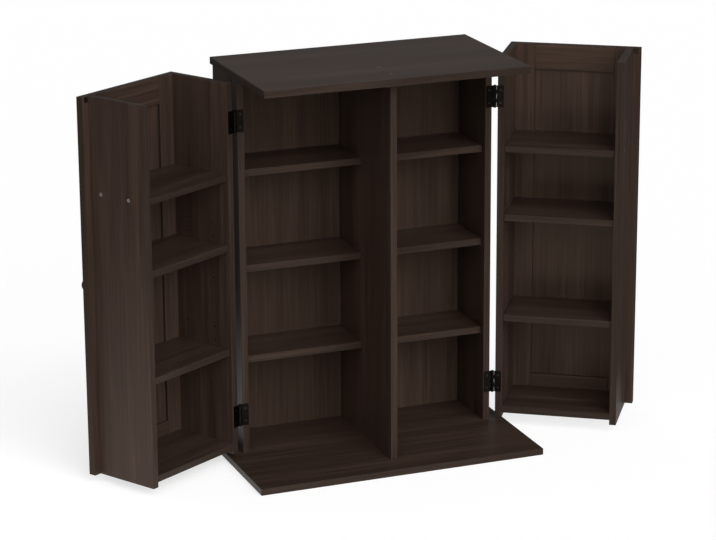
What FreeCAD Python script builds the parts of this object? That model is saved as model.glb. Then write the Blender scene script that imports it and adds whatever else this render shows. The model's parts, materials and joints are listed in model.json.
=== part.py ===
"""Media cabinet for discs: a shallow carcass between a top board and a wider base board,
closed by two deep doors that carry shelves of their own and swing on butt hinges.

Millimetres, +Z up, +Y to the back. The origin is the middle of the base board's underside.
"""
import FreeCAD
import Part
import Sketcher
import os
import re

SIZES = {
    # boards of the carcass
    "total_height": 910,
    "base_overhang": 36,
    "base_depth": 394,
    "base_board": 16,
    "top_overhang": 6,
    "top_lip": 18.6,
    "top_board": 16,
    "edge_ease": 1.5,
    "carcass_width": 614,
    "side_depth": 168,
    "side_board": 16,
    "divider_board": 16,
    "stop_gap": 1.4,
    "back_board": 3,
    "back_inset": 10,
    "back_tongue": 7,
    "groove_room": 0.5,
    "groove_play": 0.2,
    # shelves of the carcass, by the height of their upper faces
    "shelf_board": 16,
    "shelf_recess": 15,
    "shelf_end_gap": 0.8,
    "shelf_back_gap": 1,
    "shelf_low": 244,
    "shelf_mid": 459,
    "shelf_high": 682,
    # doors, as they stand open at rest
    "left_open_angle": 149.5,
    "right_open_angle": 146,
    "hinge_out": 6.5,
    "door_gap": 3.4,
    "door_foot": 5,
    "door_head": 5,
    "meet_gap": 3,
    "free_overhang": 18,
    "box_depth": 160,
    "box_board": 16,
    "bottom_raise": 12,
    "box_shelf_recess": 6,
    "box_shelf_low": 274,
    "box_shelf_mid": 518,
    "box_shelf_high": 682,
    "front_thick": 18,
    "frame_width": 60,
    "panel_thick": 6,
    "panel_tongue": 9,
    # hinges
    "hinge_length": 51,
    "hinge_end": 90,
    "leaf_thick": 1.5,
    "leaf_width": 14,
    "knuckle_radius": 4,
    "knuckle_play": 0.3,
    "hinge_pin_radius": 1.9,
    "pin_head_radius": 3,
    "pin_head_height": 1,
    "hinge_screw_head": 3,
    "hinge_screw_radius": 1.5,
    "hinge_screw_length": 13,
    "hinge_screw_spread": 30,
    # fasteners inside the boards
    "fit_play": 0.05,
    "shelf_pin_radius": 2.5,
    "shelf_pin_sunk": 7,
    "shelf_pin_out": 8,
    "shelf_pin_inset": 25,
    "pin_hole_pitch": 32,
    "dowel_radius": 4,
    "dowel_face": 10,
    "dowel_end": 20,
    "dowel_room": 0.5,
    "cam_radius": 7.5,
    "cam_height": 12,
    "cam_offset": 24,
    "cam_inset": 36,
    "cam_key": 1.2,
    "cam_key_length": 9,
    "bolt_thread_radius": 2.5,
    "bolt_thread": 10,
    "bolt_radius": 3,
    "bolt_neck_radius": 1.8,
    "bolt_neck": 3,
    "bolt_head": 3,
    "screw_head_radius": 4.5,
    "screw_head_height": 3,
    "screw_radius": 2.2,
    "screw_length": 45,
    "screw_room": 1,
    "divider_screw_front": 15,
    "divider_screw_pitch": 72,
    "box_hole_rear": 50,
    "box_hole_front": 29,
    "front_dowel_inset": 110,
    # catches and knobs
    "catch_thick": 8,
    "catch_length": 36,
    "catch_height": 12,
    "catch_gap": 0.3,
    "snout_length": 5,
    "snout_thick": 5,
    "snout_height": 8,
    "strike_width": 10,
    "strike_height": 12,
    "strike_thick": 1.2,
    "strike_inset": 0.5,
    "strike_pin_radius": 1.2,
    "strike_pin_length": 8,
    "knob_radius": 13,
    "knob_foot_radius": 8,
    "knob_foot_height": 2.5,
    "knob_neck_radius": 5.5,
    "knob_head_low": 13,
    "knob_height": 24,
    "knob_crown_round": 6.5,
    "knob_under_round": 3,
    "knob_neck_round": 2,
    "knob_bolt_radius": 2,
    "knob_bolt_sunk": 13,
    "knob_bolt_out": 11,
}

doc = FreeCAD.newDocument("media_cabinet")
sheet = doc.addObject("Spreadsheet::Sheet", "Sizes")
for row, (name, size) in enumerate(SIZES.items(), start=1):
    sheet.set(f"A{row}", name)
    sheet.set(f"B{row}", str(size))
    sheet.setAlias(f"B{row}", name)
doc.recompute()

Vector = FreeCAD.Vector
AXES = "XYZ"
# the plane that is square to each axis, named by its sketch axes
PLANES = {"X": "YZ", "Y": "XZ", "Z": "XY"}
# nearness of faces that lie in one plane
TOUCH = 0.01
# holes of a shelf pin's column, counted from the pin's own hole
HOLE_STEPS = (-2, -1, 0, 1, 2)
LOW_CORNER = {}
subparts = []
cuts = []


def bound(text):
    """A size formula as an expression on the sheet's cells."""
    return re.sub(r"[a-z]+(_[a-z]+)+", lambda word: f"Sizes.{word.group(0)}", text)


def value(text):
    """A size formula worked out to a number."""
    return float(sheet.evalExpression(bound(text)))


def point(spot):
    return Vector(*[value(text) for text in spot])


def new_body(label):
    body = doc.addObject("PartDesign::Body", label)
    body.Label = label
    return body


def in_plane(axis):
    """Which coordinates run across and up a sketch that is square to an axis."""
    return [AXES.index(letter) for letter in PLANES[axis]]


def origin_plane(body, axis):
    return [part for part in body.Origin.OriginFeatures if part.Role == f"{PLANES[axis]}_Plane"][0]


def plane_sketch(body, axis, low):
    """A sketch square to an axis, with its origin at the low corner."""
    across, up = in_plane(axis)
    sketch = body.newObject("Sketcher::SketchObject", f"{body.Name}_sketch")
    sketch.AttachmentSupport = [(origin_plane(body, axis), "")]
    sketch.MapMode = "FlatFace"
    height = low[AXES.index(axis)]
    sketch.setExpression("AttachmentOffset.Base.x", bound(low[across]))
    sketch.setExpression("AttachmentOffset.Base.y", bound(low[up]))
    # the XZ plane faces the front, so its height counts towards -Y
    sketch.setExpression("AttachmentOffset.Base.z", bound(f"-({height})" if axis == "Y" else height))
    return sketch


def dimension(sketch, kind, *where):
    """One dimension of a sketch, tied to a size formula."""
    index = sketch.addConstraint(Sketcher.Constraint(kind, *where[:-1], value(where[-1])))
    sketch.setExpression(f"Constraints[{index}]", bound(where[-1]))


def outline(sketch, corners):
    """A closed outline through corners given as pairs of size formulas from the sketch origin."""
    points = [Vector(value(across), value(up), 0) for across, up in corners]
    count = len(points)
    for index in range(count):
        sketch.addGeometry(Part.LineSegment(points[index], points[(index + 1) % count]), False)
    for index in range(count):
        following = (index + 1) % count
        sketch.addConstraint(Sketcher.Constraint("Coincident", index, 2, following, 1))
    for index, (across, up) in enumerate(corners):
        dimension(sketch, "DistanceX", -1, 1, index, 1, across)
        dimension(sketch, "DistanceY", -1, 1, index, 1, up)


def block(body, low, size, along, cut=False):
    """A rectangular pad of the body, or a rectangular cut in it, from its low corner and its size."""
    across, up = in_plane(along)
    start = list(low)
    if along == "Y":
        start[1] = f"({low[1]}) + ({size[1]})"
    sketch = plane_sketch(body, along, start)
    width, height = size[across], size[up]
    outline(sketch, [("0", "0"), (width, "0"), (width, height), ("0", height)])
    kind = "Pocket" if cut else "Pad"
    feature = body.newObject(f"PartDesign::{kind}", f"{body.Name}_{kind}")
    feature.Profile = sketch
    feature.setExpression("Length", bound(size[AXES.index(along)]))
    if cut:
        feature.Reversed = True
        cuts.append(feature)
    return feature


def disc(body, axis, centre, radius, length, cut=False):
    """A round pad of the body, or a round cut in it, along an axis."""
    sketch = plane_sketch(body, axis, centre)
    sketch.addGeometry(Part.Circle(Vector(), Vector(0, 0, 1), value(radius)), False)
    sketch.addConstraint(Sketcher.Constraint("Coincident", 0, 3, -1, 1))
    dimension(sketch, "Radius", 0, radius)
    kind = "Pocket" if cut else "Pad"
    feature = body.newObject(f"PartDesign::{kind}", f"{body.Name}_round_{kind}")
    feature.Profile = sketch
    feature.setExpression("Length", bound(length))
    if cut:
        feature.Reversed = True
        cuts.append(feature)


def board(label, low, size, along):
    """A flat board with its thickness along one axis."""
    body = new_body(label)
    block(body, low, size, along)
    LOW_CORNER[label] = low
    subparts.append(body)
    return body


def bores(body, drill, spots, radius, depth):
    """Round holes into a board, drilled along one direction from spots on its face."""
    axis = drill[1]
    across, up = in_plane(axis)
    low = list(LOW_CORNER[body.Label])
    low[AXES.index(axis)] = spots[0][AXES.index(axis)]
    sketch = plane_sketch(body, axis, low)
    for index, spot in enumerate(spots):
        place = (f"({spot[across]}) - ({low[across]})", f"({spot[up]}) - ({low[up]})")
        centre = Vector(value(place[0]), value(place[1]), 0)
        sketch.addGeometry(Part.Circle(centre, Vector(0, 0, 1), value(radius)), False)
        dimension(sketch, "DistanceX", -1, 1, index, 3, place[0])
        dimension(sketch, "DistanceY", -1, 1, index, 3, place[1])
        dimension(sketch, "Radius", index, radius)
    pocket = body.newObject("PartDesign::Pocket", f"{body.Name}_bores")
    pocket.Profile = sketch
    pocket.setExpression("Length", bound(depth))
    pocket.Reversed = drill in ("+X", "-Y", "+Z")
    cuts.append(pocket)


def pin_holes(body, drill, spots):
    """Holes for shelf pins, with spare ones below and above each pin for setting its shelf anew."""
    column = [(across, depth, f"{height} + {step} * pin_hole_pitch")
              for across, depth, height in spots for step in HOLE_STEPS]
    bores(body, drill, column, "shelf_pin_radius + fit_play", "shelf_pin_sunk + fit_play")


def turned(label, profile):
    """A round piece turned about Z from a profile of radius and height pairs."""
    body = new_body(label)
    sketch = plane_sketch(body, "Y", ("0", "0", "0"))
    outline(sketch, profile)
    turn = body.newObject("PartDesign::Revolution", f"{label}_turn")
    turn.Profile = sketch
    turn.ReferenceAxis = (sketch, ["V_Axis"])
    turn.Angle = 360
    return body


def rounded(body, names, radius):
    """A fillet on edges of the body's last feature."""
    base = body.Tip
    fillet = body.newObject("PartDesign::Fillet", f"{body.Name}_round")
    fillet.Base = (base, names)
    fillet.setExpression("Radius", bound(radius))


def soften(body, rims, radius):
    """Rounded rims of a turned piece, found by their radius and height."""
    doc.recompute()
    names = []
    for number, edge in enumerate(body.Tip.Shape.Edges, start=1):
        for wide, high in rims:
            round_edge = edge.Curve.TypeId == "Part::GeomCircle"
            if round_edge and abs(edge.Curve.Radius - value(wide)) < TOUCH:
                if abs(edge.Curve.Center.z - value(high)) < TOUCH:
                    names.append(f"Edge{number}")
    rounded(body, names, radius)


def ease(body, height):
    """Rounded upper edges along the front and both ends of a board."""
    doc.recompute()
    names = []
    for number, edge in enumerate(body.Tip.Shape.Edges, start=1):
        reach = edge.BoundBox
        straight = edge.Curve.TypeId == "Part::GeomLine"
        if straight and reach.ZMin > value(height) - TOUCH and reach.YMin < 0:
            names.append(f"Edge{number}")
    rounded(body, names, "edge_ease")


def group(label, pattern, places):
    """Copies of one fastener, each a solid of its own, as one sub-part."""
    feature = doc.addObject("Part::Feature", label)
    feature.Label = label
    copies = []
    for place in places:
        copy = pattern.Shape.copy()
        copy.Placement = place
        copies.append(copy)
    feature.Shape = Part.makeCompound(copies)
    subparts.append(feature)
    return feature


def facing(spot, direction):
    """A place for a fastener whose own +Z axis points along a direction."""
    return FreeCAD.Placement(point(spot), FreeCAD.Rotation(Vector(0, 0, 1), Vector(*direction)))


# Heights and faces that several pieces share
BACK = "base_depth / 2"
SIDE_FRONT = "(base_depth / 2 - side_depth)"
BACK_FACE = "(base_depth / 2 - back_inset - back_board)"
BASE_WIDTH = "(carcass_width + 2 * base_overhang)"
TOP_WIDTH = "(carcass_width + 2 * top_overhang)"
TOP_DEPTH = "(side_depth + door_gap + box_depth + front_thick + top_lip)"
TOP_UNDER = "(total_height - top_board)"
SIDE_OUT = "carcass_width / 2"
SIDE_IN = "(carcass_width / 2 - side_board)"
SIDE_MIDDLE = "(carcass_width / 2 - side_board / 2)"
INNER_HEIGHT = "(total_height - top_board - base_board)"
AXIS_X = "(carcass_width / 2 + hinge_out)"
AXIS_Y = "(base_depth / 2 - side_depth - door_gap / 2)"
DOOR_LOW = "(base_board + door_foot)"
DOOR_HEIGHT = "(total_height - top_board - door_head - base_board - door_foot)"
DOOR_HIGH = "(total_height - top_board - door_head)"
FRONT_BACK = "(door_gap / 2 + box_depth)"
FREE_EDGE = "(carcass_width / 2 + hinge_out - meet_gap / 2)"
FREE_OUT = "(carcass_width / 2 + hinge_out - meet_gap / 2 - free_overhang)"
DIVIDER_FRONT = f"({AXIS_Y} - {FRONT_BACK} + stop_gap)"
HINGE_HEIGHTS = (f"({DOOR_LOW} + hinge_end)", f"({DOOR_HIGH} - hinge_end)")
CATCH_OFFSET = "(divider_board / 2 + catch_thick / 2)"
GROOVE_LOW = "(base_depth / 2 - back_inset - back_board - groove_play / 2)"
GROOVE_WIDTH = "(back_board + groove_play)"
GROOVE_DEPTH = "(back_tongue + groove_room)"

# Fasteners, each drawn once about its own axis with its seat at height zero
shelf_pin = turned("shelf_pin_pattern", [
    ("0", "-shelf_pin_sunk"), ("shelf_pin_radius", "-shelf_pin_sunk"),
    ("shelf_pin_radius", "shelf_pin_out"), ("0", "shelf_pin_out")])
dowel = turned("dowel_pattern", [
    ("0", "-dowel_face"), ("dowel_radius", "-dowel_face"),
    ("dowel_radius", "dowel_end"), ("0", "dowel_end")])
SHANK_END = "(cam_offset - bolt_neck - bolt_head / 2)"
cam_bolt = turned("cam_bolt_pattern", [
    ("0", "-bolt_thread"), ("bolt_thread_radius", "-bolt_thread"), ("bolt_thread_radius", "0"),
    ("bolt_radius", "0"), ("bolt_radius", SHANK_END), ("bolt_neck_radius", SHANK_END),
    ("bolt_neck_radius", f"{SHANK_END} + bolt_neck"), ("bolt_radius", f"{SHANK_END} + bolt_neck"),
    ("bolt_radius", f"{SHANK_END} + bolt_neck + bolt_head"), ("0", f"{SHANK_END} + bolt_neck + bolt_head")])
wood_screw = turned("wood_screw_pattern", [
    ("0", "-screw_length"), ("screw_radius", "-screw_length + screw_radius * 2"),
    ("screw_radius", "-screw_head_height"), ("screw_head_radius", "-screw_head_height"),
    ("screw_head_radius", "0"), ("0", "0")])
hinge_screw = turned("hinge_screw_pattern", [
    ("0", "-hinge_screw_length"), ("hinge_screw_radius", "-hinge_screw_length + hinge_screw_radius * 2"),
    ("hinge_screw_radius", "-leaf_thick"), ("hinge_screw_head", "0"), ("0", "0")])
PIN_END = "(hinge_length / 2 + pin_head_height)"
hinge_pin = turned("hinge_pin_pattern", [
    ("0", f"-{PIN_END}"), ("pin_head_radius", f"-{PIN_END}"), ("pin_head_radius", "-hinge_length / 2"),
    ("hinge_pin_radius", "-hinge_length / 2"), ("hinge_pin_radius", "hinge_length / 2"),
    ("pin_head_radius", "hinge_length / 2"), ("pin_head_radius", PIN_END), ("0", PIN_END)])
knob_bolt = turned("knob_bolt_pattern", [
    ("0", "-knob_bolt_sunk"), ("knob_bolt_radius", "-knob_bolt_sunk"),
    ("knob_bolt_radius", "knob_bolt_out"), ("0", "knob_bolt_out")])
knob = turned("knob_pattern", [
    ("0", "knob_bolt_out + dowel_room"), ("knob_bolt_radius + fit_play", "knob_bolt_out + dowel_room"),
    ("knob_bolt_radius + fit_play", "0"), ("knob_foot_radius", "0"), ("knob_foot_radius", "knob_foot_height"),
    ("knob_neck_radius", "knob_foot_height"), ("knob_neck_radius", "knob_head_low"),
    ("knob_radius", "knob_head_low"), ("knob_radius", "knob_height"), ("0", "knob_height")])
soften(knob, [("knob_neck_radius", "knob_foot_height"), ("knob_neck_radius", "knob_head_low")],
       "knob_neck_round")
soften(knob, [("knob_radius", "knob_head_low")], "knob_under_round")
soften(knob, [("knob_radius", "knob_height")], "knob_crown_round")

# Cam disc: a slotted drum that turns behind the bolt's head, with a screwdriver slot in its cap
cam_disc = new_body("cam_disc_pattern")
disc(cam_disc, "Z", ("0", "0", "-cam_height"), "cam_radius - fit_play", "cam_height")
SLOT_SIDE = "(bolt_radius + groove_play)"
SLOT_HEIGHT = f"cam_height - side_board / 2 + {SLOT_SIDE}"
block(cam_disc, (f"-{SLOT_SIDE}", f"-{SLOT_SIDE}", "-cam_height"),
      (f"{SLOT_SIDE} + cam_radius", f"2 * {SLOT_SIDE}", SLOT_HEIGHT), "Z", cut=True)
block(cam_disc, ("-cam_key_length / 2", "-cam_key / 2", "-cam_key"), ("cam_key_length", "cam_key", "cam_key"),
      "Z", cut=True)


def hinge_leaf(label, first, count, side):
    """One leaf of a butt hinge about its pin: a plate, its knuckles, the pin's bore and two sunk holes.

    The knuckles of both leaves share five equal places along the pin. side is 1 for the leaf
    that lies on the carcass, towards +Y, and -1 for the leaf on the door.
    """
    body = new_body(label)
    pitch = "hinge_length / 5"
    plate_y = "(door_gap / 2 - leaf_thick)" if side == 1 else "-door_gap / 2"
    plate_start = "(knuckle_radius + knuckle_play)"
    plate_length = f"(hinge_out + leaf_width - {plate_start})"
    block(body, (plate_start, plate_y, "-hinge_length / 2"),
          (plate_length, "leaf_thick", "hinge_length"), "Z")
    for number in range(count):
        bottom = f"(-hinge_length / 2 + {pitch} * {first + 2 * number} + knuckle_play / 2)"
        height = f"({pitch} - knuckle_play)"
        block(body, ("0", plate_y, bottom), (f"{plate_start} + leaf_thick", "leaf_thick", height), "Z")
        disc(body, "Z", ("0", "0", bottom), "knuckle_radius", height)
    disc(body, "Z", ("0", "0", "-hinge_length / 2"), "hinge_pin_radius + fit_play", "hinge_length", cut=True)
    for end in (-1, 1):
        sink = body.newObject("PartDesign::SubtractiveCone", f"{label}_sunk_hole")
        sink.AttachmentSupport = [(origin_plane(body, "Z"), "")]
        sink.MapMode = "FlatFace"
        sink.setExpression("Radius1", bound("hinge_screw_head + fit_play"))
        sink.setExpression("Radius2", bound("hinge_screw_radius + fit_play"))
        sink.setExpression("Height", bound("leaf_thick"))
        sink.AttachmentOffset = FreeCAD.Placement(Vector(), FreeCAD.Rotation(Vector(1, 0, 0), -90 * side))
        sink.setExpression("AttachmentOffset.Base.x", bound("hinge_out + leaf_width / 2"))
        sink.setExpression("AttachmentOffset.Base.y", bound(f"{side} * (door_gap / 2 - leaf_thick)"))
        sink.setExpression("AttachmentOffset.Base.z", bound(f"{end} * hinge_screw_spread / 2"))
        cuts.append(sink)
    return body


# Catch: a slim housing that hangs under the top beside the divider, with a magnet's snout at its front
catch = new_body("catch_pattern")
block(catch, ("-catch_thick / 2", "snout_length", "-catch_height"),
      ("catch_thick", "catch_length - snout_length", "catch_height"), "Z")
block(catch, ("-snout_thick / 2", "0", "-catch_height"),
      ("snout_thick", "catch_length / 2", "snout_height"), "Z")
# Strike: a small steel plate with a spike that is pressed into the door's free stile
strike = new_body("strike_pattern")
block(strike, ("-strike_width / 2", "0", "-strike_height / 2"),
      ("strike_width", "strike_thick", "strike_height"), "Y")
disc(strike, "Y", ("0", "0", "0"), "strike_pin_radius", "strike_pin_length")

carcass_leaf = hinge_leaf("carcass_leaf_pattern", 0, 3, 1)
door_leaf = hinge_leaf("door_leaf_pattern", 1, 2, -1)
doc.recompute()

# Base and top boards
base = board("base_panel", (f"-{BASE_WIDTH} / 2", "-base_depth / 2", "0"),
             (BASE_WIDTH, "base_depth", "base_board"), "Z")
top = board("top_panel", (f"-{TOP_WIDTH} / 2", f"{BACK} - {TOP_DEPTH}", TOP_UNDER),
            (TOP_WIDTH, TOP_DEPTH, "top_board"), "Z")

# Side panels, divider and back
sides = {}
for name, hand in (("left", -1), ("right", 1)):
    inner = f"{hand} * {SIDE_OUT}" if hand < 0 else SIDE_IN
    sides[hand] = board(f"{name}_side_panel", (inner, SIDE_FRONT, "base_board"),
                        ("side_board", "side_depth", INNER_HEIGHT), "X")
DIVIDER_DEPTH = f"({BACK_FACE} - {DIVIDER_FRONT})"
divider = board("center_divider", ("-divider_board / 2", DIVIDER_FRONT, "base_board"),
                ("divider_board", DIVIDER_DEPTH, INNER_HEIGHT), "X")
board("back_panel", (f"-{SIDE_IN} - back_tongue", BACK_FACE, "base_board - back_tongue"),
      (f"2 * ({SIDE_IN} + back_tongue)", "back_board", f"{INNER_HEIGHT} + 2 * back_tongue"), "Y")

# Grooves that hold the back panel
GROOVE_SPAN = f"2 * ({SIDE_IN} + {GROOVE_DEPTH})"
block(base, (f"-{SIDE_IN} - {GROOVE_DEPTH}", GROOVE_LOW, f"base_board - {GROOVE_DEPTH}"),
      (GROOVE_SPAN, GROOVE_WIDTH, GROOVE_DEPTH), "Z", cut=True)
block(top, (f"-{SIDE_IN} - {GROOVE_DEPTH}", GROOVE_LOW, TOP_UNDER),
      (GROOVE_SPAN, GROOVE_WIDTH, GROOVE_DEPTH), "Z", cut=True)
for hand, side in sides.items():
    start = f"-{SIDE_IN} - {GROOVE_DEPTH}" if hand < 0 else SIDE_IN
    block(side, (start, GROOVE_LOW, "base_board"), (GROOVE_DEPTH, GROOVE_WIDTH, INNER_HEIGHT), "X", cut=True)

# Joints of the sides: two cams and a dowel at each end
bolt_places = []
disc_places = []
dowel_places = []
CAM_DEPTHS = (f"{SIDE_FRONT} + cam_inset", f"{BACK} - cam_inset")
DOWEL_DEPTH = f"{BACK} - side_depth / 2"
ENDS = (("base_board", 1), (TOP_UNDER, -1))
for plate, (height, up) in zip((base, top), ENDS):
    into_plate = "-Z" if up > 0 else "+Z"
    into_end = "+Z" if up > 0 else "-Z"
    bolt_spots = [(f"{hand} * {SIDE_MIDDLE}", depth, height) for hand in sides for depth in CAM_DEPTHS]
    dowel_spots = [(f"{hand} * {SIDE_MIDDLE}", DOWEL_DEPTH, height) for hand in sides]
    bores(plate, into_plate, bolt_spots, "bolt_thread_radius + fit_play", "bolt_thread + dowel_room")
    bores(plate, into_plate, dowel_spots, "dowel_radius + fit_play", "dowel_face + dowel_room")
    for hand, side in sides.items():
        own_bolts = [spot for spot in bolt_spots if spot[0].startswith(f"{hand} ")]
        own_dowels = [spot for spot in dowel_spots if spot[0].startswith(f"{hand} ")]
        bores(side, into_end, own_bolts, "bolt_radius + fit_play", "cam_offset")
        bores(side, into_end, own_dowels, "dowel_radius + fit_play", "dowel_end + dowel_room")
        cam_spots = [(f"{hand} * {SIDE_IN}", depth, f"{height} + {up} * cam_offset") for depth in CAM_DEPTHS]
        bores(side, "-X" if hand < 0 else "+X", cam_spots, "cam_radius", "cam_height + dowel_room")
        for spot in own_bolts:
            bolt_places.append(facing(spot, (0, 0, up)))
        for spot in own_dowels:
            dowel_places.append(facing(spot, (0, 0, up)))
        for spot in cam_spots:
            cap = Vector(-hand, 0, 0)
            towards_end = Vector(0, 0, -up)
            turn = FreeCAD.Rotation(towards_end, cap.cross(towards_end), cap, "ZXY")
            disc_places.append(FreeCAD.Placement(point(spot), turn))

# Divider: two screws and a dowel at each end
screw_places = []
SCREW_DEPTHS = (f"{DIVIDER_FRONT} + divider_screw_front",
                f"{DIVIDER_FRONT} + divider_screw_front + divider_screw_pitch")
for plate, (height, up), thick in zip((base, top), ENDS, ("base_board", "top_board")):
    into_plate = "-Z" if up > 0 else "+Z"
    into_end = "+Z" if up > 0 else "-Z"
    outer = "0" if up > 0 else "total_height"
    head_spots = [("0", depth, outer) for depth in SCREW_DEPTHS]
    end_spots = [("0", depth, height) for depth in SCREW_DEPTHS]
    dowel_spot = ("0", DOWEL_DEPTH, height)
    bores(plate, into_end, head_spots, "screw_head_radius + fit_play", "screw_head_height + fit_play")
    bores(plate, into_end, head_spots, "screw_radius + fit_play", thick)
    bores(divider, into_end, end_spots, "screw_radius + fit_play", f"screw_length - {thick} + screw_room")
    bores(plate, into_plate, [dowel_spot], "dowel_radius + fit_play", "dowel_face + dowel_room")
    bores(divider, into_end, [dowel_spot], "dowel_radius + fit_play", "dowel_end + dowel_room")
    dowel_places.append(facing(dowel_spot, (0, 0, up)))
    for spot in head_spots:
        screw_places.append(facing(spot, (0, 0, -up)))

# Shelves of both columns and the pins that carry them
COLUMN_LOW = {-1: f"-{SIDE_IN}", 1: "divider_board / 2"}
COLUMN_HIGH = {-1: "-divider_board / 2", 1: SIDE_IN}
SHELF_FRONT = f"({SIDE_FRONT} + shelf_recess)"
SHELF_BACK = f"({BACK_FACE} - shelf_back_gap)"
PIN_DEPTHS = (f"{SHELF_FRONT} + shelf_pin_inset", f"{SHELF_BACK} - shelf_pin_inset")
pin_places = []
side_pins = {-1: [], 1: []}
divider_pins = {-1: [], 1: []}
for column, hand in (("left", -1), ("right", 1)):
    for level in ("low", "mid", "high"):
        low = f"{COLUMN_LOW[hand]} + shelf_end_gap"
        length = f"{COLUMN_HIGH[hand]} - ({COLUMN_LOW[hand]}) - 2 * shelf_end_gap"
        board(f"{column}_column_shelf_{level}", (low, SHELF_FRONT, f"shelf_{level} - shelf_board"),
              (length, f"{SHELF_BACK} - {SHELF_FRONT}", "shelf_board"), "Z")
        pin_height = f"shelf_{level} - shelf_board - shelf_pin_radius"
        for depth in PIN_DEPTHS:
            side_pins[hand].append((f"{hand} * {SIDE_IN}", depth, pin_height))
            divider_pins[hand].append((f"{hand} * divider_board / 2", depth, pin_height))
for hand, side in sides.items():
    pin_holes(side, "-X" if hand < 0 else "+X", side_pins[hand])
    pin_holes(divider, "+X" if hand < 0 else "-X", divider_pins[hand])
    pin_places += [facing(spot, (-hand, 0, 0)) for spot in side_pins[hand]]
    pin_places += [facing(spot, (hand, 0, 0)) for spot in divider_pins[hand]]

# Hinge leaves, pins and screws on the carcass
leaf_places = []
hinge_pin_places = []
carcass_hinge_screws = []
for hand, side in sides.items():
    screw_x = f"{hand} * ({SIDE_OUT} - leaf_width / 2)"
    ends = [f"{height} + {end} * hinge_screw_spread / 2" for height in HINGE_HEIGHTS for end in (-1, 1)]
    spots = [(screw_x, SIDE_FRONT, height) for height in ends]
    bores(side, "+Y", spots, "hinge_screw_radius + fit_play", "hinge_screw_length - leaf_thick + dowel_room")
    heads = [(screw_x, f"{SIDE_FRONT} - leaf_thick", height) for height in ends]
    carcass_hinge_screws += [facing(spot, (0, -1, 0)) for spot in heads]
    turn = FreeCAD.Rotation(Vector(0, 1, 0), 0 if hand < 0 else 180)
    for height in HINGE_HEIGHTS:
        place = point((f"{hand} * {AXIS_X}", AXIS_Y, height))
        leaf_places.append(FreeCAD.Placement(place, turn))
        hinge_pin_places.append(FreeCAD.Placement(place, FreeCAD.Rotation()))

ease(base, "base_board")
ease(top, "total_height")
doc.recompute()

group("cam_bolts", cam_bolt, bolt_places)
group("cam_discs", cam_disc, disc_places)
group("carcass_dowels", dowel, dowel_places)
group("divider_screws", wood_screw, screw_places)
group("carcass_shelf_pins", shelf_pin, pin_places)
group("carcass_hinge_leaves", carcass_leaf, leaf_places)
group("hinge_pins", hinge_pin, hinge_pin_places)
group("carcass_hinge_screws", hinge_screw, carcass_hinge_screws)
catch_front = f"{DIVIDER_FRONT} - stop_gap + strike_thick + catch_gap"
group("magnet_catches", catch,
      [facing((f"{hand} * {CATCH_OFFSET}", catch_front, TOP_UNDER), (0, 0, 1)) for hand in sides])


def hang(pieces, hand, opening):
    """Pieces drawn about a closed door's hinge axis, set on that axis and swung open."""
    for piece in pieces:
        piece.Placement = FreeCAD.Placement(Vector(), FreeCAD.Rotation(Vector(0, 0, 1), 1))
        piece.setExpression("Placement.Base.x", bound(f"{hand} * {AXIS_X}"))
        piece.setExpression("Placement.Base.y", bound(AXIS_Y))
        piece.setExpression("Placement.Rotation.Angle", bound(f"{hand} * {opening}"))


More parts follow.
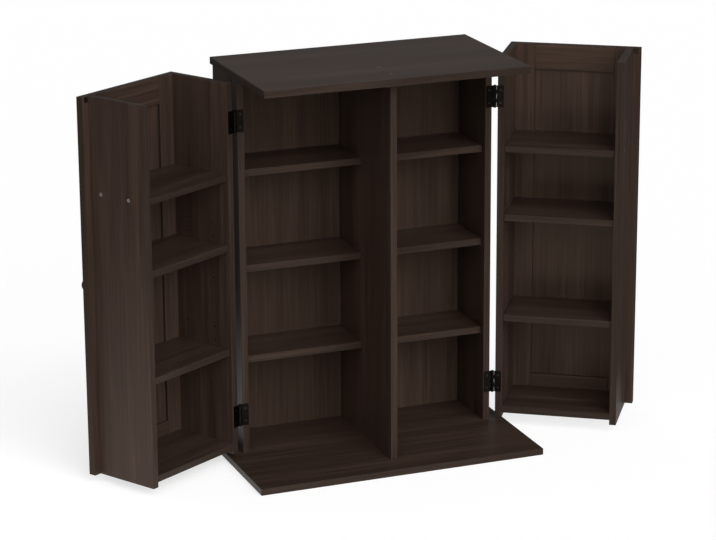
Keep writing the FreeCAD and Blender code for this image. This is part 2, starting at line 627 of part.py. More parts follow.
def make_door(side, hand, opening):
    """A door: a framed front, a box of boards behind it, and its hardware.

    Drawn closed, about its hinge axis. Width w runs from the axis to the free edge, which is +X
    on the left door and -X on the right one, and depth d runs to the front, which is -Y.
    """
    first = len(subparts)

    def across(start, length):
        return start if hand < 0 else f"-({start}) - ({length})"

    def at_width(width):
        return f"{-hand} * ({width})"

    def door_board(name, width, depth, height, along):
        low = (across(*width), f"-({depth[0]}) - ({depth[1]})", height[0])
        return board(f"{side}_door_{name}", low, (width[1], depth[1], height[1]), along)

    towards_free = "+X" if hand < 0 else "-X"
    towards_hinge = "-X" if hand < 0 else "+X"
    free_dir = (-hand, 0, 0)
    hinge_dir = (hand, 0, 0)

    # Framed front: stiles and rails grooved for a thin panel, the rails with stub tenons
    whole = (DOOR_LOW, DOOR_HEIGHT)
    face = (FRONT_BACK, "front_thick")
    groove_face = (f"{FRONT_BACK} + (front_thick - panel_thick - groove_play) / 2",
                   "panel_thick + groove_play")
    tenon_face = (f"{FRONT_BACK} + (front_thick - panel_thick) / 2", "panel_thick")
    inner_start = "(hinge_out + frame_width)"
    inner_width = f"({FREE_EDGE} - hinge_out - 2 * frame_width)"
    slot = "(panel_tongue + groove_room)"
    hinge_stile = door_board("hinge_stile", ("hinge_out", "frame_width"), face, whole, "Y")
    free_stile = door_board("free_stile", (f"{FREE_EDGE} - frame_width", "frame_width"), face, whole, "Y")

    def cut_groove(body, width, height):
        low = (across(*width), f"-({groove_face[0]}) - ({groove_face[1]})", height[0])
        block(body, low, (width[1], groove_face[1], height[1]), "Z", cut=True)

    cut_groove(hinge_stile, (f"{inner_start} - {slot}", slot), whole)
    cut_groove(free_stile, (f"{FREE_EDGE} - frame_width", slot), whole)
    rails = (("bottom_rail", DOOR_LOW, f"{DOOR_LOW} + frame_width - {slot}"),
             ("top_rail", f"{DOOR_HIGH} - frame_width", f"{DOOR_HIGH} - frame_width"))
    for name, foot, groove_foot in rails:
        rail = door_board(name, (inner_start, inner_width), face, (foot, "frame_width"), "Y")
        tenon_low = (across(f"{inner_start} - panel_tongue", f"{inner_width} + 2 * panel_tongue"),
                     f"-({tenon_face[0]}) - ({tenon_face[1]})", foot)
        block(rail, tenon_low, (f"{inner_width} + 2 * panel_tongue", tenon_face[1], "frame_width"), "Y")
        cut_groove(rail, (f"{inner_start} - panel_tongue - groove_room",
                          f"{inner_width} + 2 * {slot}"), (groove_foot, slot))
    panel_width = (f"{inner_start} - panel_tongue", f"{inner_width} + 2 * panel_tongue")
    panel_height = (f"{DOOR_LOW} + frame_width - panel_tongue",
                    f"{DOOR_HEIGHT} - 2 * frame_width + 2 * panel_tongue")
    door_board("front_panel", panel_width, tenon_face, panel_height, "Y")

    # Box behind the front
    box = ("door_gap / 2", "box_depth")
    box_in = "(hinge_out + box_board)"
    box_width = f"({FREE_OUT} - hinge_out - 2 * box_board)"
    hinge_side = door_board("hinge_side", ("hinge_out", "box_board"), box, whole, "X")
    free_side = door_board("free_side", (f"{FREE_OUT} - box_board", "box_board"), box, whole, "X")
    bottom_low = f"({DOOR_LOW} + bottom_raise)"
    bottom = door_board("bottom_board", (box_in, box_width), box, (bottom_low, "box_board"), "Z")
    shelf_depth = ("door_gap / 2 + box_shelf_recess", "box_depth - box_shelf_recess")
    upper = door_board("upper_shelf", (box_in, box_width), shelf_depth,
                       ("box_shelf_high - shelf_board", "shelf_board"), "Z")
    for name, level in (("middle_shelf", "box_shelf_mid"), ("lower_shelf", "box_shelf_low")):
        door_board(name, (f"{box_in} + shelf_end_gap", f"{box_width} - 2 * shelf_end_gap"), shelf_depth,
                   (f"{level} - shelf_board", "shelf_board"), "Z")

    # Pins, screws and dowels of the box
    inner_faces = ((hinge_side, at_width(box_in), towards_hinge, free_dir),
                   (free_side, at_width(f"{FREE_OUT} - box_board"), towards_free, hinge_dir))
    outer_faces = (at_width("hinge_out"), at_width(FREE_OUT))
    depths = ["-(door_gap / 2 + box_hole_rear)", f"-({FRONT_BACK} - box_hole_front)"]
    pins, screws, dowels = [], [], []
    for (panel, inner_x, outwards, inwards), outer_x in zip(inner_faces, outer_faces):
        pin_spots = [(inner_x, depth, f"{level} - shelf_board - shelf_pin_radius")
                     for level in ("box_shelf_mid", "box_shelf_low") for depth in depths]
        pin_holes(panel, outwards, pin_spots)
        pins += [facing(spot, inwards) for spot in pin_spots]
        inward_drill = towards_free if outwards == towards_hinge else towards_hinge
        heads = [(outer_x, depth, "box_shelf_high - shelf_board / 2") for depth in depths]
        bores(panel, inward_drill, heads, "screw_head_radius + fit_play", "screw_head_height + fit_play")
        bores(panel, inward_drill, heads, "screw_radius + fit_play", "box_board")
        shelf_ends = [(inner_x, depth, "box_shelf_high - shelf_board / 2") for depth in depths]
        bores(upper, inward_drill, shelf_ends, "screw_radius + fit_play",
              "screw_length - box_board + screw_room")
        screws += [facing(spot, [-part for part in inwards]) for spot in heads]
        dowel_spots = [(inner_x, depth, f"{bottom_low} + box_board / 2") for depth in depths]
        bores(panel, outwards, dowel_spots, "dowel_radius + fit_play", "dowel_face + dowel_room")
        bores(bottom, inward_drill, dowel_spots, "dowel_radius + fit_play", "dowel_end + dowel_room")
        dowels += [facing(spot, inwards) for spot in dowel_spots]
    joints = ((hinge_side, hinge_stile, "hinge_out + box_board / 2"),
              (free_side, free_stile, f"{FREE_OUT} - box_board / 2"))
    for panel, stile, width in joints:
        spots = [(at_width(width), f"-{FRONT_BACK}", height)
                 for height in (f"{DOOR_LOW} + front_dowel_inset", f"{DOOR_HIGH} - front_dowel_inset")]
        bores(panel, "+Y", spots, "dowel_radius + fit_play", "dowel_end + dowel_room")
        bores(stile, "-Y", spots, "dowel_radius + fit_play", "dowel_face + dowel_room")
        dowels += [facing(spot, (0, 1, 0)) for spot in spots]

    # Hinge screws in the rear edge, the strike behind the free edge, and the knob's bolt
    ends = [f"{height} + {end} * hinge_screw_spread / 2" for height in HINGE_HEIGHTS for end in (-1, 1)]
    screw_x = at_width("hinge_out + leaf_width / 2")
    bores(hinge_side, "-Y", [(screw_x, "-door_gap / 2", height) for height in ends],
          "hinge_screw_radius + fit_play", "hinge_screw_length - leaf_thick + dowel_room")
    screw_heads = [facing((screw_x, "-door_gap / 2 + leaf_thick", height), (0, 1, 0)) for height in ends]
    strike_spot = (at_width(f"{AXIS_X} - {CATCH_OFFSET}"), f"-{FRONT_BACK}",
                   f"{DOOR_HIGH} - strike_inset - strike_height / 2")
    bores(free_stile, "-Y", [strike_spot], "strike_pin_radius + fit_play", "strike_pin_length + dowel_room")
    knob_spot = (at_width(f"{FREE_EDGE} - frame_width / 2"), f"-{FRONT_BACK} - front_thick",
                 f"{DOOR_LOW} + {DOOR_HEIGHT} / 2")
    bores(free_stile, "+Y", [knob_spot], "knob_bolt_radius + fit_play", "knob_bolt_sunk + dowel_room")
    doc.recompute()

    group(f"{side}_door_shelf_pins", shelf_pin, pins)
    group(f"{side}_door_shelf_screws", wood_screw, screws)
    group(f"{side}_door_dowels", dowel, dowels)
    turn = FreeCAD.Rotation(Vector(0, 1, 0), 0 if hand < 0 else 180)
    leaves = [FreeCAD.Placement(point(("0", "0", height)), turn) for height in HINGE_HEIGHTS]
    group(f"{side}_door_hinge_leaves", door_leaf, leaves)
    group(f"{side}_door_hinge_screws", hinge_screw, screw_heads)
    group(f"{side}_door_strike_plate", strike, [facing(strike_spot, (0, 0, 1))])
    group(f"{side}_door_knob", knob, [facing(knob_spot, (0, -1, 0))])
    group(f"{side}_door_knob_bolt", knob_bolt, [facing(knob_spot, (0, -1, 0))])
    hang(subparts[first:], hand, opening)


make_door("left", -1, "left_open_angle")
make_door("right", 1, "right_open_angle")
doc.recompute()

# Every piece must be whole, and every cut must have taken something away
for item in doc.Objects:
    if "Invalid" in item.State or "Error" in item.State:
        raise RuntimeError(f"{item.Label} failed: {item.State}")
for cut in cuts:
    if not cut.Shape.Volume < cut.BaseFeature.Shape.Volume - TOUCH:
        raise RuntimeError(f"{cut.Label} takes nothing away")
os.makedirs("parts", exist_ok=True)
for piece in subparts:
    if piece.Shape.isNull() or not piece.Shape.isValid():
        raise RuntimeError(f"{piece.Label} has no sound shape")
for piece in subparts:
    piece.Shape.exportStep(f"parts/{piece.Label}.step")
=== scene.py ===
import json
from math import pi, radians

import bmesh
import bpy
from mathutils import Matrix, Vector


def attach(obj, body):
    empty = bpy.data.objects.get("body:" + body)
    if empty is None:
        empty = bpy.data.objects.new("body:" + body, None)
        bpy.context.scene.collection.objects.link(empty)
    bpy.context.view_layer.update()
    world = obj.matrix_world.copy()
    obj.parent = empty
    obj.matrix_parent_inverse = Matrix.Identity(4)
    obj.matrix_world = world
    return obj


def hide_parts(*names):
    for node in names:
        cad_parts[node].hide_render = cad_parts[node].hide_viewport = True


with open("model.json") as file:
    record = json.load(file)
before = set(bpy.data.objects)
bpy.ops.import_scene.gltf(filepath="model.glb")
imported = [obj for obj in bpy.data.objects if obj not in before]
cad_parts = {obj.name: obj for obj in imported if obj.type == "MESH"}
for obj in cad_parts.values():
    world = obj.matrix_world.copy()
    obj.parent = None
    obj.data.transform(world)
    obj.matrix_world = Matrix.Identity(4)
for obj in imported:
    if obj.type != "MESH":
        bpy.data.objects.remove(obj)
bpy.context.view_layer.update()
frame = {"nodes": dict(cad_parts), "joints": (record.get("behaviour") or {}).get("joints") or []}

# Base board: particle board faced with a dark printed foil, wider and deeper than the rest, lying flat
# on the floor. Its edges carry an ironed-on tape, and the upper ones at the front and the ends are
# rounded over.

MM = 0.001


def linear(code):
    """A hex sRGB colour as linear values with full alpha."""
    parts = [int(code[place:place + 2], 16) / 255 for place in (1, 3, 5)]
    return [part / 12.92 if part <= 0.04045 else ((part + 0.055) / 1.055) ** 2.4 for part in parts] + [1]


def add(tree, kind, settings=None, stops=None, **inputs):
    """A node with its settings; stops are places and hex colours of a ramp.

    An input is a value for a socket or an output to link to it. It is named as the socket is, with
    underscores for spaces, or _0, _1, _2 by its place.
    """
    node = tree.nodes.new(kind)
    for name, setting in (settings or {}).items():
        setattr(node, name, setting)
    for index, (place, code) in enumerate(stops or []):
        elements = node.color_ramp.elements
        element = elements[index] if index < len(elements) else elements.new(place)
        element.position = place
        element.color = linear(code)
    for name, given in inputs.items():
        socket = node.inputs[int(name[1:])] if name[1:].isdigit() else node.inputs[name.replace("_", " ")]
        if isinstance(given, bpy.types.NodeSocket):
            tree.links.new(given, socket)
        else:
            socket.default_value = given
    return node


def new_material(name):
    """An empty material with its Principled shader, ready for links."""
    material = bpy.data.materials.new(name)
    material.use_nodes = True
    tree = material.node_tree
    tree.nodes.clear()
    shader = add(tree, "ShaderNodeBsdfPrincipled")
    add(tree, "ShaderNodeOutputMaterial", Surface=shader.outputs["BSDF"])
    place = add(tree, "ShaderNodeTexCoord").outputs["Object"]
    return material, tree, shader, place


def melamine(name, along, tones, roughness, shine, turn=0.0):
    """Paper foil soaked in melamine and printed with wood: long faint streaks over a slow change of
    tone, under a hard satin face that mirrors its surroundings softly. turn follows a door's swing."""
    material, tree, shader, place = new_material(name)
    # a real pore is under a millimetre wide; the streaks are drawn wider so that they show
    streak = (5 * MM, 240 * MM)
    figure = (42 * MM, 800 * MM)
    grains = []
    for (width, length), detail in ((streak, 5), (figure, 2)):
        spread = [length if axis == along else width for axis in "XYZ"]
        mapped = add(tree, "ShaderNodeMapping", {"vector_type": "TEXTURE"}, Vector=place,
                     Rotation=(0, 0, turn), Scale=spread)
        noise = add(tree, "ShaderNodeTexNoise", Vector=mapped.outputs["Vector"], Scale=1.0, Detail=detail,
                    Roughness=0.6)
        grains.append(noise.outputs["Fac"])
    figure_share = 0.45
    grain = add(tree, "ShaderNodeMix", Factor=figure_share, _2=grains[0], _3=grains[1]).outputs[0]
    colour = add(tree, "ShaderNodeValToRGB", stops=list(zip((0.36, 0.52, 0.66), tones)), Fac=grain)
    tree.links.new(colour.outputs["Color"], shader.inputs["Base Color"])
    gloss = add(tree, "ShaderNodeMapRange", Value=grains[0], From_Min=0.3, From_Max=0.7,
                To_Min=roughness - 0.03, To_Max=roughness + 0.05)
    tree.links.new(gloss.outputs["Result"], shader.inputs["Roughness"])
    relief = add(tree, "ShaderNodeBump", Strength=0.1, Distance=0.1 * MM, Height=grains[0])
    tree.links.new(relief.outputs["Normal"], shader.inputs["Normal"])
    shader.inputs["IOR"].default_value = 1.5
    shader.inputs["Specular IOR Level"].default_value = shine
    # the brown print shows through the resin and warms its gloss
    shader.inputs["Specular Tint"].default_value = linear("#e2c4ac")
    return material


# the foil shows an even espresso brown under a soft shine, and the tape is a little darker and duller
ESPRESSO = ("#291f1a", "#362a24", "#43352d")
TAPE = ("#241c18", "#2e2520", "#382d27")
FOIL_ROUGHNESS, FOIL_SHINE = 0.32, 0.4
TAPE_ROUGHNESS, TAPE_SHINE = 0.35, 0.2
foil_level = melamine("espresso_melamine_level", "X", ESPRESSO, FOIL_ROUGHNESS, FOIL_SHINE)
foil_upright = melamine("espresso_melamine_upright", "Z", ESPRESSO, FOIL_ROUGHNESS, FOIL_SHINE)
tape_level = melamine("espresso_edge_tape_level", "X", TAPE, TAPE_ROUGHNESS, TAPE_SHINE)
tape_upright = melamine("espresso_edge_tape_upright", "Z", TAPE, TAPE_ROUGHNESS, TAPE_SHINE)


def solid_copy(node):
    """A CAD node's mesh as a bmesh with its triangles joined into whole flat faces."""
    same_point = 0.002 * MM
    same_plane = radians(1)
    mesh = bmesh.new()
    mesh.from_mesh(frame["nodes"][node].data)
    bmesh.ops.remove_doubles(mesh, verts=mesh.verts, dist=same_point)
    bmesh.ops.dissolve_limit(mesh, angle_limit=same_plane, verts=mesh.verts, edges=mesh.edges)
    return mesh


CREASE = radians(40)


def finish_piece(mesh, name, body, materials, node):
    """A finished mesh as an object that rides on a body and stands for its CAD node.

    Its rounds are shaded smooth, and flat faces stay flat to the eye beside them.
    """
    data = bpy.data.meshes.new(name)
    mesh.to_mesh(data)
    mesh.free()
    if data.has_custom_normals:
        data.attributes.remove(data.attributes["custom_normal"])
    data.shade_smooth()
    data.set_sharp_from_angle(angle=CREASE)
    for material in materials:
        data.materials.append(material)
    piece = bpy.data.objects.new(name, data)
    piece.modifiers.new("even_shading", "WEIGHTED_NORMAL").keep_sharp = True
    bpy.context.scene.collection.objects.link(piece)
    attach(piece, body)
    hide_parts(node)


def ease_edges(mesh, radius, shortest, finest, steepest):
    """A small round on the edges of a mesh that are sharper and longer than the limits.

    An edge that ends at something finer, such as the facets of another round, stays as it is, because
    that would hold every round of the mesh down to its own size.
    """
    sharp = [edge for edge in mesh.edges
             if edge.is_manifold and edge.calc_length() > shortest and edge.calc_face_angle() > steepest]
    free = [edge for edge in sharp
            if all(other.calc_length() > finest for vert in edge.verts for other in vert.link_edges)]
    bmesh.ops.bevel(mesh, geom=free, offset=radius, segments=3, profile=0.5, affect="EDGES", material=-1,
                    clamp_overlap=True)


EDGE_EASE = 0.8 * MM
SHORTEST_BOARD_EDGE = 12 * MM
SQUARE_EDGE = radians(60)


def laminated_board(node, body, foil, tape):
    """A board with its long edges eased, foil on its two wide faces and tape on the narrow ones."""
    mesh = solid_copy(node)
    ease_edges(mesh, EDGE_EASE, SHORTEST_BOARD_EDGE, 3 * EDGE_EASE, SQUARE_EDGE)
    widest = max(mesh.faces, key=lambda face: face.calc_area()).normal.copy()
    for face in mesh.faces:
        level_with_face = abs(face.normal.dot(widest)) > 0.95
        face.material_index = 0 if level_with_face else 1
    finish_piece(mesh, f"{node}_laminated", body, [foil, tape], node)


laminated_board("base_panel", "carcass", foil_level, tape_level)

# Side panels and divider: the same faced board stood on end with its grain upright, joined to base and
# top. The divider runs forward between the closed doors and stops them.

for node in ("left_side_panel", "right_side_panel", "center_divider"):
    laminated_board(node, "carcass", foil_upright, tape_upright)

# Joints of the carcass: beech dowels, steel bolts and cast zinc cams that pull the boards
# together. All lie inside the boards, apart from the cams' faces on the sides' inner walls.


def plated(name, tones, roughness, grit):
    """Plated, cast or browned metal: a hard mirror broken up by a fine unevenness of its polish."""
    material, tree, shader, place = new_material(name)
    # real polishing marks are about 0.1 mm wide; they are drawn coarser so that they show
    noise = add(tree, "ShaderNodeTexNoise", Vector=place, Scale=1 / grit, Detail=3).outputs["Fac"]
    colour = add(tree, "ShaderNodeValToRGB", stops=list(zip((0.3, 0.7), tones)), Fac=noise)
    tree.links.new(colour.outputs["Color"], shader.inputs["Base Color"])
    gloss = add(tree, "ShaderNodeMapRange", Value=noise, From_Min=0.3, From_Max=0.7,
                To_Min=roughness - 0.06, To_Max=roughness + 0.06)
    tree.links.new(gloss.outputs["Result"], shader.inputs["Roughness"])
    shader.inputs["Metallic"].default_value = 1.0
    return material


def turned_wood(name, tones, roughness, pore):
    """Turned hardwood: short brown flecks along the grain on an even ground."""
    material, tree, shader, place = new_material(name)
    # real flecks are well under a millimetre wide; they are drawn wider so that they show
    mapped = add(tree, "ShaderNodeMapping", {"vector_type": "TEXTURE"}, Vector=place,
                 Scale=(pore, pore, 8 * pore))
    noise = add(tree, "ShaderNodeTexNoise", Vector=mapped.outputs["Vector"], Scale=1.0, Detail=4)
    colour = add(tree, "ShaderNodeValToRGB", stops=list(zip((0.35, 0.65), tones)), Fac=noise.outputs["Fac"])
    tree.links.new(colour.outputs["Color"], shader.inputs["Base Color"])
    shader.inputs["Roughness"].default_value = roughness
    return material


# plated steel gives small pale glints, cast zinc a duller grey, and beech a light warm brown
zinc_plate = plated("zinc_plated_steel", ("#c6c6c8", "#dedee0"), 0.4, 1.5 * MM)
cast_zinc = plated("die_cast_zinc", ("#8d8d91", "#a6a6a8"), 0.46, 0.8 * MM)
beech = turned_wood("turned_beech", ("#b98d5c", "#d3ab78"), 0.65, 1.2 * MM)
SHARP_RIM = radians(50)


def hardware(node, body, material, rim, shortest=0, finest=0):
    """A group of small turned or stamped pieces with their rims broken."""
    mesh = solid_copy(node)
    ease_edges(mesh, rim, shortest, finest, SHARP_RIM)
    finish_piece(mesh, f"{node}_finished", body, [material], node)


DOWEL_RIM, BOLT_RIM, CAM_RIM = 0.6 * MM, 0.2 * MM, 0.15 * MM
hardware("carcass_dowels", "carcass", beech, DOWEL_RIM)
hardware("cam_bolts", "carcass", zinc_plate, BOLT_RIM)
hardware("cam_discs", "carcass", cast_zinc, CAM_RIM)

# Back panel: thin hardboard slid into grooves round the carcass. Its inner face is printed to match
# the boards and its outer face is left raw, with the weave of the press screen.

# the thin print looks flatter than the boards' foil and mirrors much less
BACK_PRINT = ("#2c221d", "#352a23", "#3e322a")
BACK_ROUGHNESS, BACK_SHINE = 0.5, 0.1
back_print = melamine("printed_hardboard", "Z", BACK_PRINT, BACK_ROUGHNESS, BACK_SHINE)


def raw_hardboard():
    """Bare pressed fibre: warm brown, dull, specked, with the square weave that the screen leaves."""
    material, tree, shader, place = new_material("raw_hardboard")
    # a real screen's wires lie about 1.5 mm apart; they are drawn wider so that they show
    screen = 2.4 * MM
    fleck = 3 * MM
    noise = add(tree, "ShaderNodeTexNoise", Vector=place, Scale=1 / fleck, Detail=5).outputs["Fac"]
    tones = [(0.3, "#57402c"), (0.55, "#6d5238"), (0.75, "#846646")]
    colour = add(tree, "ShaderNodeValToRGB", stops=tones, Fac=noise)
    tree.links.new(colour.outputs["Color"], shader.inputs["Base Color"])
    # a wave texture's own period is a twentieth of 2 pi units at scale 1
    scale = 2 * pi / (20 * screen)
    rows = []
    for axis in "XZ":
        wave = add(tree, "ShaderNodeTexWave", {"bands_direction": axis}, Vector=place, Scale=scale)
        rows.append(wave.outputs["Fac"])
    weave = add(tree, "ShaderNodeMath", {"operation": "MULTIPLY"}, _0=rows[0], _1=rows[1])
    relief = add(tree, "ShaderNodeBump", Strength=0.5, Distance=0.3 * MM, Height=weave.outputs["Value"])
    tree.links.new(relief.outputs["Normal"], shader.inputs["Normal"])
    shader.inputs["Roughness"].default_value = 0.8
    return material


back_mesh = solid_copy("back_panel")
for face in back_mesh.faces:
    faces_the_wall = face.normal.y > 0.5
    face.material_index = 1 if faces_the_wall else 0
finish_piece(back_mesh, "back_panel_hardboard", "carcass", [back_print, raw_hardboard()], "back_panel")

# Top board: the same faced board as the base, with its front and ends rounded over. Two screws go
# down through it into the divider.

laminated_board("top_panel", "carcass", foil_level, tape_level)


def cross_head_screws(node, body, material, head_radius):
    """Countersunk wood screws: each head gets a tapered cross recess for the driver."""
    mesh = solid_copy(node)
    arm, half_width, depth = 0.58 * head_radius, 0.13 * head_radius, 0.45 * head_radius
    floor_share = 0.6
    least_area = 0.75 * pi * head_radius ** 2
    for head in [face for face in mesh.faces if face.calc_area() > least_area]:
        centre, outwards = head.calc_center_median(), head.normal.copy()
        first = (head.verts[0].co - centre).normalized()
        second = outwards.cross(first)
        rim = list(head.edges)
        mesh.faces.remove(head)
        corners = []
        for quarter in range(4):
            corners += [arm * first - half_width * second, arm * first + half_width * second,
                        half_width * (first + second)]
            first, second = second, -first
        cross = mesh.faces.new([mesh.verts.new(centre + corner) for corner in corners])
        bmesh.ops.triangle_fill(mesh, edges=rim + list(cross.edges), normal=outwards, use_beauty=True)
        sunk = bmesh.ops.extrude_discrete_faces(mesh, faces=[cross])["faces"][0]
        for vert in sunk.verts:
            vert.co = centre + floor_share * (vert.co - centre) - depth * outwards
    bmesh.ops.recalc_face_normals(mesh, faces=mesh.faces)
    finish_piece(mesh, f"{node}_cross_head", body, [material], node)


WOOD_SCREW_HEAD = 4.5 * MM
HINGE_SCREW_HEAD = 3 * MM
cross_head_screws("divider_screws", "carcass", zinc_plate, WOOD_SCREW_HEAD)

# Shelves of both columns: three loose boards each, taped on all edges, lying on four steel pins that
# are pushed into holes in the side and the divider.

for column in ("left", "right"):
    for height in ("low", "mid", "high"):
        laminated_board(f"{column}_column_shelf_{height}", "carcass", foil_level, tape_level)
SHELF_PIN_RIM = 0.5 * MM
hardware("carcass_shelf_pins", "carcass", zinc_plate, SHELF_PIN_RIM)

# Hinges: butt hinges of folded steel, browned almost black, with five interleaved knuckles on a headed
# pin. One leaf is screwed to the side panel's front edge, the other to the door's rear edge.

# the browned leaves look almost black, their screws a shade lighter, and the shelf screws are pale dots
browned = plated("browned_steel", ("#1f1b19", "#302a26"), 0.42, 2.5 * MM)
blacked_zinc = plated("blacked_zinc", ("#3d3835", "#524c48"), 0.45, 1.5 * MM)
dull_zinc = plated("passivated_zinc", ("#b9b3ad", "#d0cbc5"), 0.5, 1.5 * MM)
# only the straight edges of a leaf are broken, as the facets of its knuckles are finer than a rim
LEAF_RIM, LEAF_EDGE, KNUCKLE_FACET = 0.2 * MM, 3 * MM, 0.6 * MM
HINGE_PIN_RIM = 0.25 * MM
hardware("carcass_hinge_leaves", "carcass", browned, LEAF_RIM, LEAF_EDGE, KNUCKLE_FACET)
hardware("hinge_pins", "carcass", browned, HINGE_PIN_RIM)
cross_head_screws("carcass_hinge_screws", "carcass", blacked_zinc, HINGE_SCREW_HEAD)

# Catches: slim moulded housings with a magnet's snout, fixed under the top beside the divider. Each
# pulls on a small steel plate that is pinned to the door.


def moulded_plastic():
    """ABS from a spark-eroded mould: dark brown with a fine even grain and a low sheen."""
    material, tree, shader, place = new_material("dark_abs")
    # a real mould's grain is about 0.1 mm wide; it is drawn coarser so that it shows
    grain = 0.6 * MM
    noise = add(tree, "ShaderNodeTexNoise", Vector=place, Scale=1 / grain, Detail=2).outputs["Fac"]
    colour = add(tree, "ShaderNodeValToRGB", stops=[(0.3, "#1f1916"), (0.7, "#2a221e")], Fac=noise)
    tree.links.new(colour.outputs["Color"], shader.inputs["Base Color"])
    relief = add(tree, "ShaderNodeBump", Strength=0.3, Distance=0.05 * MM, Height=noise)
    tree.links.new(relief.outputs["Normal"], shader.inputs["Normal"])
    shader.inputs["Roughness"].default_value = 0.5
    return material


CATCH_RIM = 0.4 * MM
hardware("magnet_catches", "carcass", moulded_plastic(), CATCH_RIM)

# Doors: each has a framed front of two stiles and two rails that hold a thin panel in their grooves,
# and behind it an open box with three shelves. They stand open, so their grain is turned with them.

# bronzed strike plates and stained knobs stay near the brown of the boards
bronzed = plated("bronzed_steel", ("#5a4d43", "#6e6055"), 0.5, 2 * MM)
knob_wood = turned_wood("stained_knob_wood", ("#241a15", "#382a22"), 0.32, 1.5 * MM)
STRIKE_PLATE_RIM, KNOB_RIM = 0.15 * MM, 0.3 * MM
joints = {joint["child"]: joint for joint in frame["joints"]}
for door in ("left_door", "right_door"):
    hinge = joints[door]
    swing = radians(-hinge["range_deg"][0]) * hinge["axis"][2]
    foil_across = melamine(f"espresso_melamine_{door}", "X", ESPRESSO, FOIL_ROUGHNESS, FOIL_SHINE, swing)
    tape_across = melamine(f"espresso_edge_tape_{door}", "X", TAPE, TAPE_ROUGHNESS, TAPE_SHINE, swing)
    for name in ("hinge_stile", "free_stile", "front_panel", "hinge_side", "free_side"):
        laminated_board(f"{door}_{name}", door, foil_upright, tape_upright)
    for name in ("top_rail", "bottom_rail", "bottom_board", "upper_shelf", "middle_shelf", "lower_shelf"):
        laminated_board(f"{door}_{name}", door, foil_across, tape_across)
    hardware(f"{door}_dowels", door, beech, DOWEL_RIM)
    hardware(f"{door}_shelf_pins", door, zinc_plate, SHELF_PIN_RIM)
    cross_head_screws(f"{door}_shelf_screws", door, dull_zinc, WOOD_SCREW_HEAD)
    hardware(f"{door}_hinge_leaves", door, browned, LEAF_RIM, LEAF_EDGE, KNUCKLE_FACET)
    cross_head_screws(f"{door}_hinge_screws", door, blacked_zinc, HINGE_SCREW_HEAD)
    hardware(f"{door}_strike_plate", door, bronzed, STRIKE_PLATE_RIM)
    hardware(f"{door}_knob", door, knob_wood, KNOB_RIM)
    hardware(f"{door}_knob_bolt", door, zinc_plate, BOLT_RIM)

# Floor: a white paper sweep, wide enough to fill the view. It keeps the cabinet's shadow, and the
# eye sees it lifted to white. A pool of light is painted on it, bright at the front and dim beyond, and
# mirrors also see a painted glow inside that pool.

# the painted pool of light: its centre at the front left, full within the first reach and gone by the
# second
PAINTED_POOL_CENTRE = (-0.8, -1.0, 0)
PAINTED_POOL_REACH, PAINTED_POOL_FADE_END = 0.8, 2.1
EVEN_SHARE = 0.7
DIM_LIFT, BRIGHT_LIFT = 0.95, 0.63
PAINTED_REFLECTION_GLOW = 0.6
HALF_FLOOR = 30
paper, paper_tree, paper_shader, paper_place = new_material("white_paper")
paper_shader.inputs["Roughness"].default_value = 0.9
paper_shader.inputs["Specular IOR Level"].default_value = 0.0
paper_shader.inputs["Emission Color"].default_value = (1, 1, 1, 1)
away = add(paper_tree, "ShaderNodeVectorMath", {"operation": "DISTANCE"}, _0=paper_place, _1=PAINTED_POOL_CENTRE)
near = add(paper_tree, "ShaderNodeMapRange", Value=away.outputs["Value"], From_Min=PAINTED_POOL_REACH,
           From_Max=PAINTED_POOL_FADE_END, To_Min=1.0, To_Max=0.0).outputs["Result"]
# the paper's colour carries the painted pool: pale grey inside it and dark grey outside
tone = add(paper_tree, "ShaderNodeValToRGB", stops=[(0.0, "#404040"), (EVEN_SHARE, "#b8b8b8")], Fac=near)
paper_tree.links.new(tone.outputs["Color"], paper_shader.inputs["Base Color"])
# the eye's lift is larger where the painted pool is dark, so the camera still sees the floor evenly white
seen = add(paper_tree, "ShaderNodeMapRange", Value=near, From_Min=0.0, From_Max=EVEN_SHARE,
           To_Min=DIM_LIFT, To_Max=BRIGHT_LIFT).outputs["Result"]
# reflections alone see a painted glow inside the pool, which no lamp gives
painted_reflection_glow = add(paper_tree, "ShaderNodeMath", {"operation": "MULTIPLY"}, _0=near,
               _1=PAINTED_REFLECTION_GLOW).outputs["Value"]
rays = add(paper_tree, "ShaderNodeLightPath")
lift = 0.0
for kind, strength in (("Is Camera Ray", seen), ("Is Transmission Ray", seen), ("Is Glossy Ray", painted_reflection_glow)):
    share = add(paper_tree, "ShaderNodeMath", {"operation": "MULTIPLY_ADD"}, _0=rays.outputs[kind],
                _1=strength, _2=lift)
    lift = share.outputs["Value"]
paper_tree.links.new(lift, paper_shader.inputs["Emission Strength"])
ground = bmesh.new()
bmesh.ops.create_grid(ground, x_segments=1, y_segments=1, size=HALF_FLOOR)
ground_data = bpy.data.meshes.new("floor")
ground.to_mesh(ground_data)
ground.free()
ground_data.materials.append(paper)
floor = bpy.data.objects.new("floor", ground_data)
bpy.context.scene.collection.objects.link(floor)

# Light: a white sweep that fades into a dimmer room above, a broad lamp at the front left, a narrower
# one as strong at the front right and a weak one behind. Gloss mirrors the sweep and not the lamps,
# whose image would whiten the top as seen from behind.

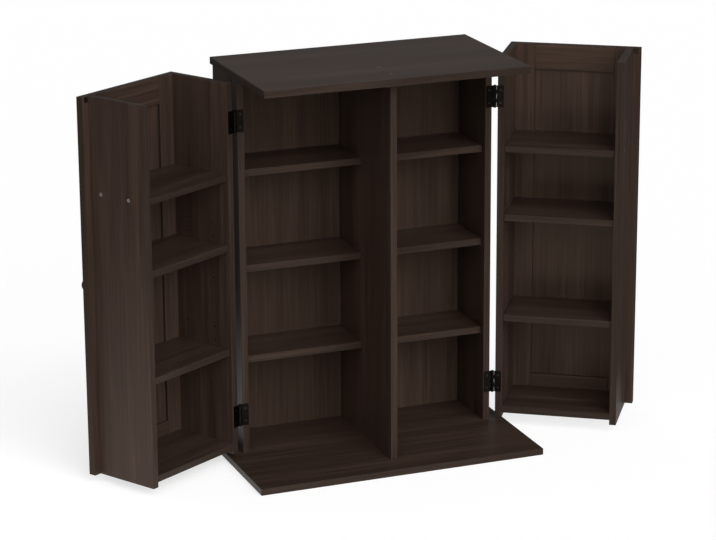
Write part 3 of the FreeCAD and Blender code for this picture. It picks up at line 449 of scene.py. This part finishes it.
world = bpy.data.worlds.new("studio")
bpy.context.scene.world = world
world.use_nodes = True
room = world.node_tree
room.nodes.clear()
direction = add(room, "ShaderNodeTexCoord").outputs["Generated"]
height = add(room, "ShaderNodeSeparateXYZ", Vector=direction).outputs["Z"]
shades = [(0.04, "#ffffff"), (0.14, "#444444"), (0.5, "#4a4a4a"), (0.75, "#606060")]
fade = add(room, "ShaderNodeValToRGB", stops=shades, Fac=height)
sky = add(room, "ShaderNodeBackground", Color=fade.outputs["Color"], Strength=1.0)
add(room, "ShaderNodeOutputWorld", Surface=sky.outputs["Background"])


def soft_light(name, come_from, spread, strength):
    """A broad distant light that comes from a direction, as wide as its spread."""
    data = bpy.data.lights.new(name, "SUN")
    data.angle = spread
    data.energy = strength
    lamp = bpy.data.objects.new(name, data)
    lamp.visible_glossy = False
    lamp.rotation_mode = "QUATERNION"
    lamp.rotation_quaternion = Vector(come_from).to_track_quat("Z", "Y")
    bpy.context.scene.collection.objects.link(lamp)


soft_light("key", (-1.4, -3.2, 1.1), radians(100), 2.6)
soft_light("fill", (0.8, -3.2, 1.5), radians(60), 2.7)
soft_light("rear", (-2.0, 4.0, 2.5), radians(60), 0.5)

# Camera: looks down at the front from the left, as in the photograph. Its lens isn't shifted, so it
# stands further away to keep the uprights nearly parallel.

PHOTO_PIXELS = 716
FOCAL_PIXELS = 2800
SENSOR_MM = 36
camera_data = bpy.data.cameras.new("camera")
camera_data.sensor_width = SENSOR_MM
camera_data.lens = SENSOR_MM * FOCAL_PIXELS / PHOTO_PIXELS
camera = bpy.data.objects.new("camera", camera_data)
CAMERA_PLACE = (-2.2324, -5.6685, 2.2834)
YAW, PITCH, ROLL = -0.3699, radians(90) - 0.2956, -0.0057
camera.matrix_world = (Matrix.Translation(CAMERA_PLACE) @ Matrix.Rotation(YAW, 4, "Z")
                       @ Matrix.Rotation(PITCH, 4, "X") @ Matrix.Rotation(ROLL, 4, "Z"))
bpy.context.scene.collection.objects.link(camera)
bpy.context.scene.camera = camera
bpy.context.scene.view_settings.view_transform = "Standard"
